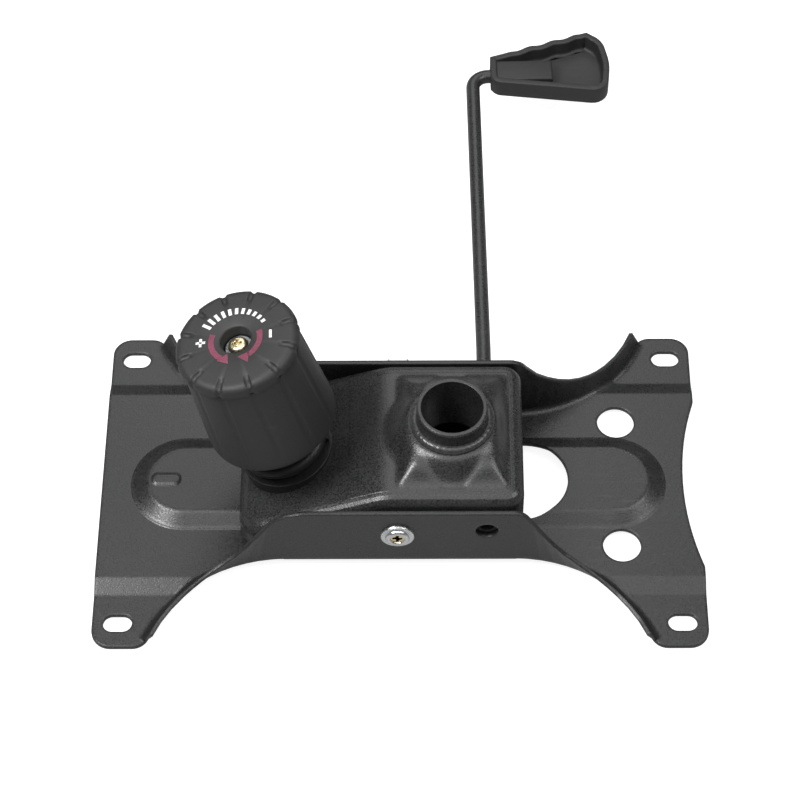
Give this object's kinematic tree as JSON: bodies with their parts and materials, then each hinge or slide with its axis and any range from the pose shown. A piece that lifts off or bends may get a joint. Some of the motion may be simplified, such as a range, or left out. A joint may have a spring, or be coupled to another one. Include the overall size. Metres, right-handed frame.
{
  "type": "office chair tilt mechanism",
  "caption": "Pressed steel chair tilt mechanism: slotted seat plate, rocking bracket with a tapered gas lift socket, spring with a tension knob, and a bent release lever.",
  "frame": {"origin": "centre of the four seat slots, on the seat plane", "axes": "+X to the chair's rear, +Y to the lever's side, +Z away from the seat (downwards on the chair)"},
  "size_m": [0.2834, 0.3505, 0.125],
  "materials": {
    "black_steel": "satin black coating",
    "zinc_steel": "zinc plated",
    "yellow_zinc": "yellow zinc plated",
    "spring_steel": "black oxide",
    "black_plastic": "fine grain",
    "nylon": "smooth"
  },
  "bodies": {
    "seat_plate": {"seat_plate": "black_steel", "pivot_bolt": "zinc_steel", "pivot_nut": "zinc_steel", "pivot_sleeve": "zinc_steel", "tension_bolt": "zinc_steel", "stop_washer": "zinc_steel", "stop_screw": "yellow_zinc"},
    "bracket": {"base_bracket": "black_steel", "taper_socket": "black_steel", "socket_brace": "black_steel", "pivot_bush_near": "nylon", "pivot_bush_far": "nylon", "spring_seat": "black_plastic", "tension_spring": "spring_steel"},
    "thrust": {"thrust_washer": "zinc_steel"},
    "knob": {"tension_knob": "black_plastic", "knob_nut": "zinc_steel"},
    "lever_bush": {"lever_bush_near": "nylon", "lever_bush_far": "nylon"},
    "lever": {"lever_rod": "black_steel", "lever_handle": "black_plastic"}
  },
  "joints": [
    {"name": "tilt", "type": "hinge", "parent": "seat_plate", "child": "bracket", "pos_m": [-0.001, 0, 0.0275], "axis": [0, 1, 0], "range_deg": [0, 12], "stiffness_Nm_per_rad": 130, "springref_deg": -11.46, "deforming": ["tension_spring"]},
    {"name": "knob_travel", "type": "slide", "parent": "seat_plate", "child": "thrust", "axis": [-0.2181, 0, 0.9759], "range_m": [-0.00151, 0.00601], "deforming": ["tension_spring"]},
    {"name": "knob_turn", "type": "hinge", "parent": "thrust", "child": "knob", "pos_m": [-0.06453, 0, 0.08783], "axis": [-0.2181, 0, 0.9759], "range_deg": [-360, 1440]},
    {"name": "height_release", "type": "hinge", "parent": "bracket", "child": "lever_bush", "pos_m": [0.04, 0, 0.0307], "axis": [0, 1, 0], "range_deg": [0, 15], "stiffness_Nm_per_rad": 0.12, "springref_deg": -20.05},
    {"name": "tilt_lock", "type": "slide", "parent": "lever_bush", "child": "lever", "axis": [0, 1, 0], "range_m": [-0.005, 0]}
  ],
  "couplings": [
    {"joint": "knob_travel", "follows": "knob_turn", "m_per_rad": 0.00023873}
  ]
}
